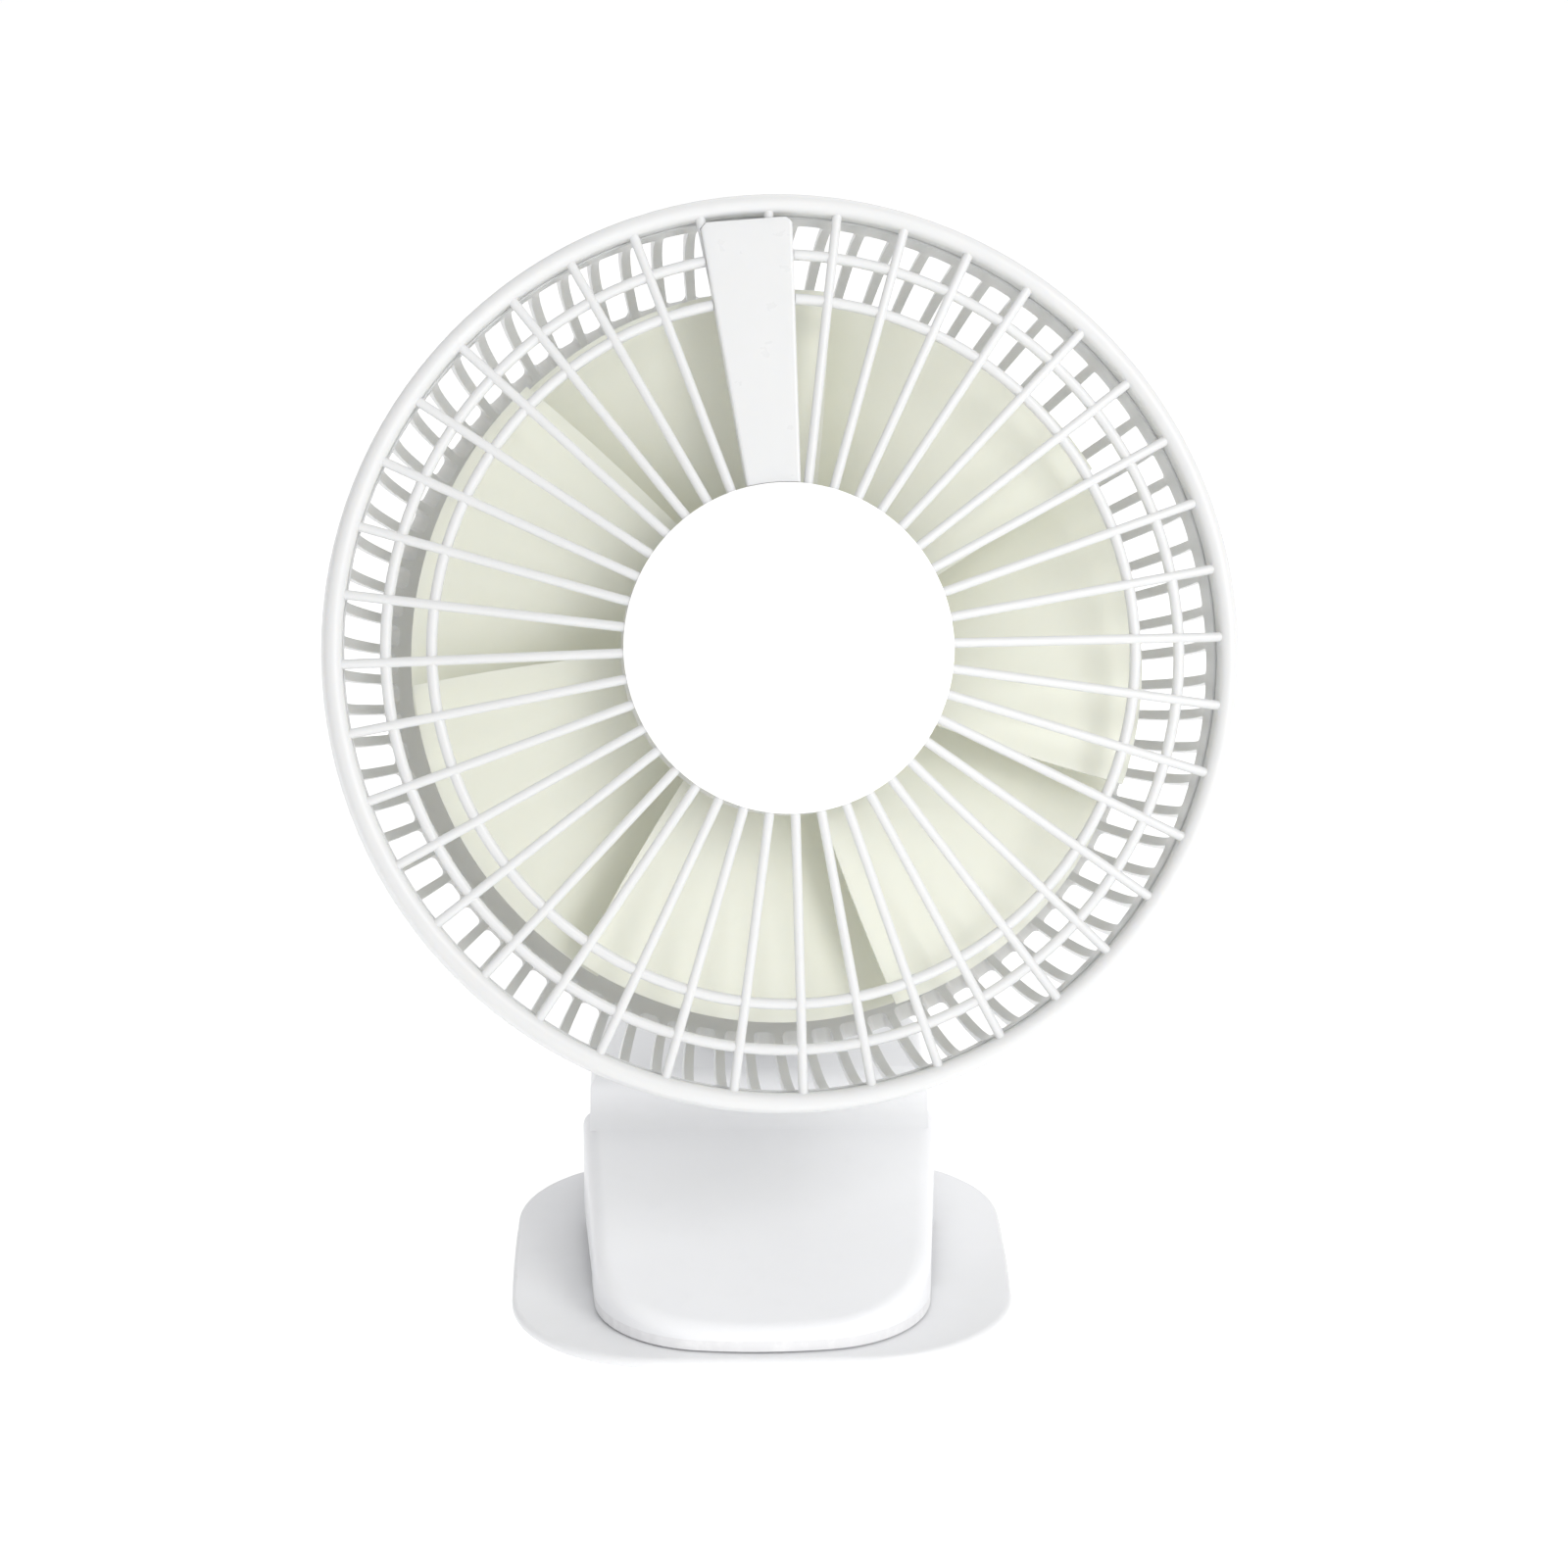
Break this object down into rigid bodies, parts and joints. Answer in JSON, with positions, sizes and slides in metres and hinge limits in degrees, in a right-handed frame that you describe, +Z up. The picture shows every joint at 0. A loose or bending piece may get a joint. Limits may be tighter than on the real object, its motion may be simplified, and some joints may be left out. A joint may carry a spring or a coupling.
{
  "type": "desk fan",
  "caption": "Small white clip-on desk fan: round caged head with a lamp in its hub, on a tilting swivel neck, whose clip-jaw body closes on a thin square plate that also stands on a desk.",
  "frame": {"origin": "centre of the flat underside of the base plate's rubber sole", "axes": "+Z up, -Y the way the fan blows at a swivel of zero, +X the fan's right as seen from -Y"},
  "size_m": [0.148, 0.0883, 0.1821],
  "materials": {
    "shell_white": "fine satin moulded ABS, cool white",
    "plate_white": "satin moulded ABS, cool white",
    "guard_white": "semi-gloss moulded ABS, white",
    "blade_ivory": "satin translucent ivory polypropylene",
    "lamp_diffuser": "milky opal polycarbonate, smooth",
    "button_white": "satin",
    "pad_rubber": "soft matt silicone, pale grey-white",
    "sole_rubber": "matt soft rubber",
    "indicator_lens": "clear light pipe",
    "battery_wrap": "heat-shrunk film",
    "circuit_board": "solder mask",
    "socket_steel": "drawn nickel-plated shell",
    "screw_steel": "zinc-plated",
    "nut_steel": "zinc-plated",
    "pin_steel": "ground",
    "spring_steel": "drawn wire",
    "motor_steel": "drawn can",
    "rotor_steel": "laminated core",
    "magnet": "sintered ferrite",
    "bearing_brass": "sintered bush",
    "motor_plastic": "moulded nylon",
    "washer_nylon": "nylon",
    "led": "white LED package"
  },
  "bodies": {
    "base": {"base_plate": "plate_white", "base_sole": "sole_rubber", "torsion_spring": "spring_steel"},
    "body": {"body_top_shell": "shell_white", "body_bottom_shell": "shell_white", "body_screws": "screw_steel", "jaw_pad": "pad_rubber", "battery": "battery_wrap", "control_board": "circuit_board", "usb_socket": "socket_steel", "indicator_lenses": "indicator_lens", "hinge_pin": "pin_steel", "pin_clips": "spring_steel"},
    "button": {"power_button": "button_white"},
    "neck": {"neck_front_shell": "shell_white", "neck_rear_shell": "shell_white", "neck_screws": "screw_steel", "tilt_bolt": "screw_steel", "tilt_nut": "nut_steel", "tilt_washers": "washer_nylon", "swivel_post": "pin_steel", "swivel_ring": "spring_steel"},
    "head": {"front_guard": "guard_white", "wire_cover": "guard_white", "lamp_diffuser": "lamp_diffuser", "lamp_board": "circuit_board", "lamp_leds": "led", "rear_guard": "guard_white", "motor_can": "motor_steel", "motor_end_cap": "motor_plastic", "motor_bearings": "bearing_brass", "motor_magnets": "magnet", "motor_screws": "screw_steel", "rear_cover": "shell_white", "rear_cover_screws": "screw_steel", "driver_board": "circuit_board"},
    "rotor": {"impeller": "blade_ivory", "impeller_lock": "bearing_brass", "motor_rotor": "rotor_steel", "motor_shaft": "pin_steel"}
  },
  "joints": [
    {"name": "clip_open", "type": "hinge", "parent": "base", "child": "body", "pos_m": [0, 0.024, 0.011], "axis": [-1, 0, 0], "range_deg": [0, 18], "stiffness_Nm_per_rad": 0.9, "springref_deg": -34.38, "deforming": ["torsion_spring"]},
    {"name": "head_swivel", "type": "hinge", "parent": "body", "child": "neck", "pos_m": [0, 0.034, 0.0308], "axis": [0, 0, 1], "range_deg": [-95, 85]},
    {"name": "head_tilt", "type": "hinge", "parent": "neck", "child": "head", "pos_m": [-0.00044, 0.03908, 0.0936], "axis": [-0.9962, -0.0872, 0], "range_deg": [-9, 55]},
    {"name": "fan_spin", "type": "hinge", "parent": "head", "child": "rotor", "pos_m": [0.00419, -0.01393, 0.11403], "axis": [0.0814, -0.93, 0.3584], "continuous": true},
    {"name": "button_press", "type": "slide", "parent": "body", "child": "button", "axis": [0, -1, 0], "range_m": [0, 0.0007], "stiffness_N_per_m": 400}
  ]
}
